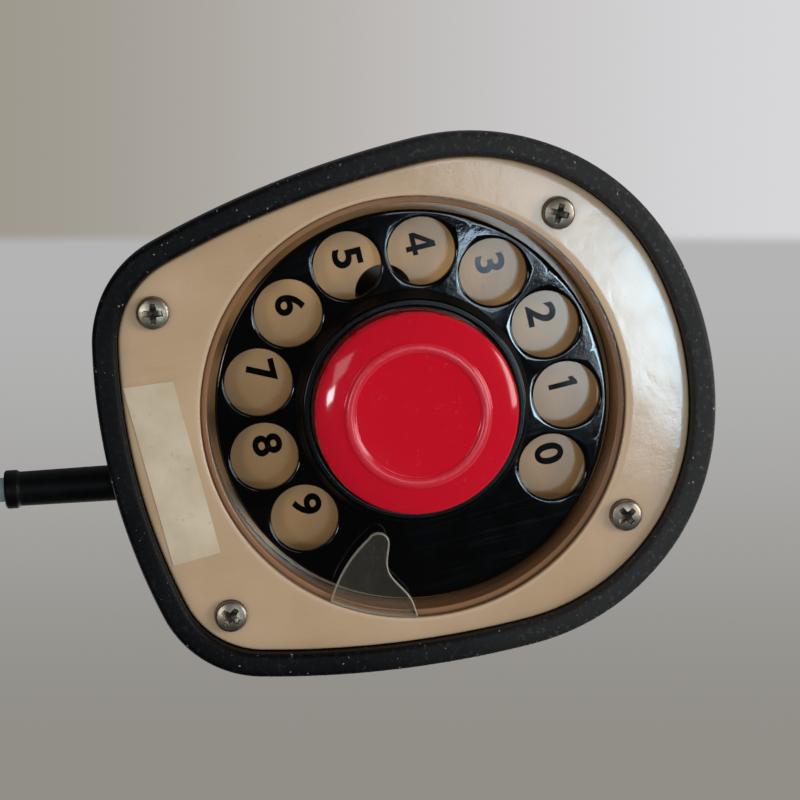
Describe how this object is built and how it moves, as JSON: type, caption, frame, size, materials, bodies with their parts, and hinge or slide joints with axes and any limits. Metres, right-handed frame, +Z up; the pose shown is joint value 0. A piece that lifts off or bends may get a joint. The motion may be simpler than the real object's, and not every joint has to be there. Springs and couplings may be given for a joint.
{
  "type": "rotary telephone",
  "caption": "One-piece upright telephone standing on a rubber-rimmed base with a sunken rotary dial, a clear finger stop and a red hook-switch plunger.",
  "frame": {"origin": "on the dial's axis, in the plane that the rubber foot ring stands on", "axes": "+Z up through the neck, -Y towards the mouthpiece side, +Y towards the cord"},
  "size_m": [0.1027, 0.2754, 0.2355],
  "materials": {
    "shell": "gloss",
    "foot_rubber": "matte",
    "capsule_metal": "satin",
    "black_plastic": "gloss",
    "base": "gloss",
    "screw_steel": "satin",
    "number_plate": "satin",
    "clear_plastic": "clear gloss",
    "white_plastic": "satin",
    "brass": "satin",
    "plated_steel": "satin",
    "spring_steel": "satin",
    "phenolic": "satin",
    "red_plastic": "gloss",
    "core_iron": "matte",
    "winding": "satin",
    "boot_rubber": "matte",
    "cord_jacket": "satin",
    "plug_plastic": "satin"
  },
  "bodies": {
    "phone": {"housing": "shell", "ear_cap": "shell", "receiver_gasket": "foot_rubber", "receiver_capsule": "capsule_metal", "transmitter_capsule": "capsule_metal", "transmitter_cup": "black_plastic", "foot_ring": "foot_rubber", "base_plate": "base", "base_screws": "screw_steel", "frame_screws": "screw_steel", "pillar_screws": "screw_steel", "number_plate": "number_plate", "finger_stop": "clear_plastic", "bearing_bush": "brass", "dial_frame": "plated_steel", "spring_cup": "plated_steel", "mainspring": "spring_steel", "governor_cup": "plated_steel", "governor_bracket": "plated_steel", "top_plate": "plated_steel", "pillars": "brass", "stem_guide": "white_plastic", "lever_pin": "plated_steel", "switch_bracket": "plated_steel", "pulse_leaves": "brass", "pulse_block": "phenolic", "pulse_post": "plated_steel", "hook_leaves": "brass", "hook_block": "phenolic", "neck_strap": "plated_steel", "coil_core": "core_iron", "coil_winding": "winding", "capacitor": "capsule_metal", "terminal_board": "phenolic", "terminal_screws": "brass", "cord_boot": "boot_rubber", "cord_tube": "cord_jacket", "cord_coil": "cord_jacket", "plug_body": "plug_plastic", "plug_pins": "brass"},
    "dial": {"finger_wheel": "black_plastic", "wheel_collar": "black_plastic", "dial_hub": "white_plastic", "drive_gear": "brass", "pulse_cam": "phenolic", "hub_clip": "spring_steel"},
    "pinion": {"pinion": "brass", "pinion_spindle": "plated_steel", "worm_wheel": "white_plastic"},
    "governor": {"governor_spindle": "plated_steel", "governor_worm": "plated_steel", "governor_weights": "brass"},
    "plunger": {"plunger_button": "red_plastic", "plunger_stem": "white_plastic", "stem_clip": "spring_steel", "plunger_spring": "spring_steel"},
    "hook_lever": {"hook_lever": "plated_steel"}
  },
  "joints": [
    {"name": "dial_turn", "type": "hinge", "parent": "phone", "child": "dial", "pos_m": [0, 0, 0.0066], "axis": [0, 0, 1], "range_deg": [0, 308], "stiffness_Nm_per_rad": 0.004, "springref_deg": -85.94},
    {"name": "pinion_spin", "type": "hinge", "parent": "phone", "child": "pinion", "pos_m": [0.0126, 0.02182, 0.022], "axis": [0, 0, 1], "range_deg": [-1541, 0.5]},
    {"name": "governor_spin", "type": "hinge", "parent": "phone", "child": "governor", "pos_m": [0.0126, 0.03272, 0.0292], "axis": [1, 0, 0], "range_deg": [-1, 12330]},
    {"name": "plunger_press", "type": "slide", "parent": "phone", "child": "plunger", "axis": [0, 0, 1], "range_m": [0, 0.0045], "stiffness_N_per_m": 300, "springref_m": -0.003, "deforming": ["plunger_spring"]},
    {"name": "hook_lever_turn", "type": "hinge", "parent": "phone", "child": "hook_lever", "pos_m": [-0.014, 0, 0.0428], "axis": [0, -1, 0], "range_deg": [-0.2, 18.2]}
  ],
  "couplings": [
    {"joint": "pinion_spin", "follows": "dial_turn", "ratio": -5},
    {"joint": "governor_spin", "follows": "dial_turn", "ratio": 40},
    {"joint": "hook_lever_turn", "follows": "plunger_press", "rad_per_m": 69}
  ]
}
